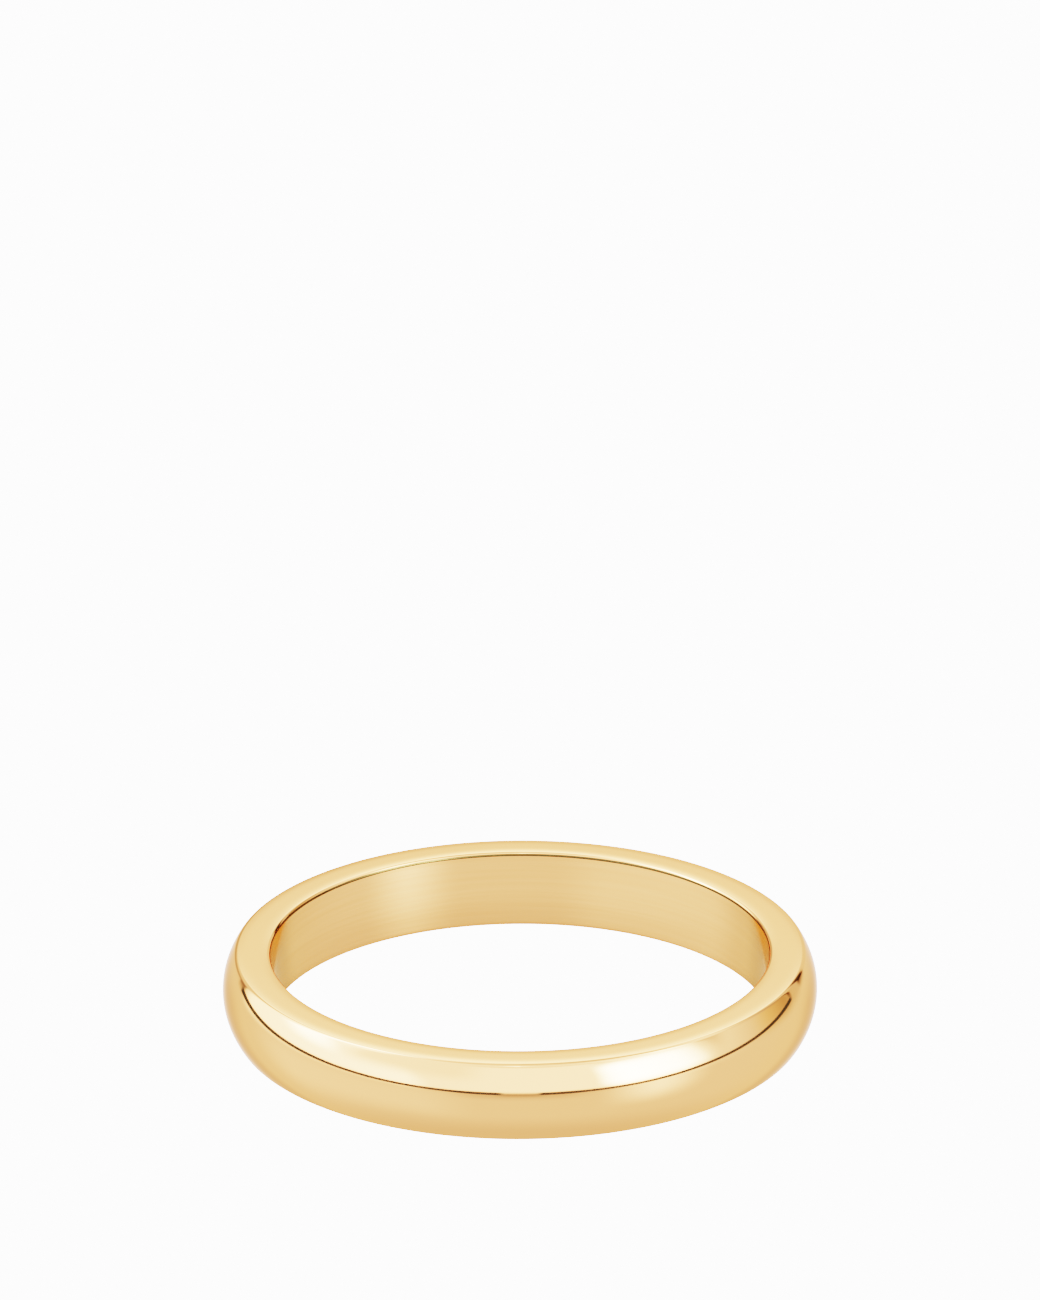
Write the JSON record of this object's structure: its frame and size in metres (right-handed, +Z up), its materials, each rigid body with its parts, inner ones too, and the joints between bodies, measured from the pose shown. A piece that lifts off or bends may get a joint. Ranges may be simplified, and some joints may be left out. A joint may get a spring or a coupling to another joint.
{
  "type": "stackable ring",
  "caption": "Plain domed finger ring with flat side faces, so it can be stacked against another ring on one finger.",
  "frame": {"origin": "on the ring's axis at its lower side face, with the ring lying on its side", "axes": "+Z up along the ring's axis; X and Y across the bore, alike in every direction"},
  "size_m": [0.0206, 0.0206, 0.0028],
  "materials": {
    "gold": "polished yellow gold, satin in the bore"
  },
  "bodies": {
    "root": {"band": "gold"}
  },
  "joints": []
}
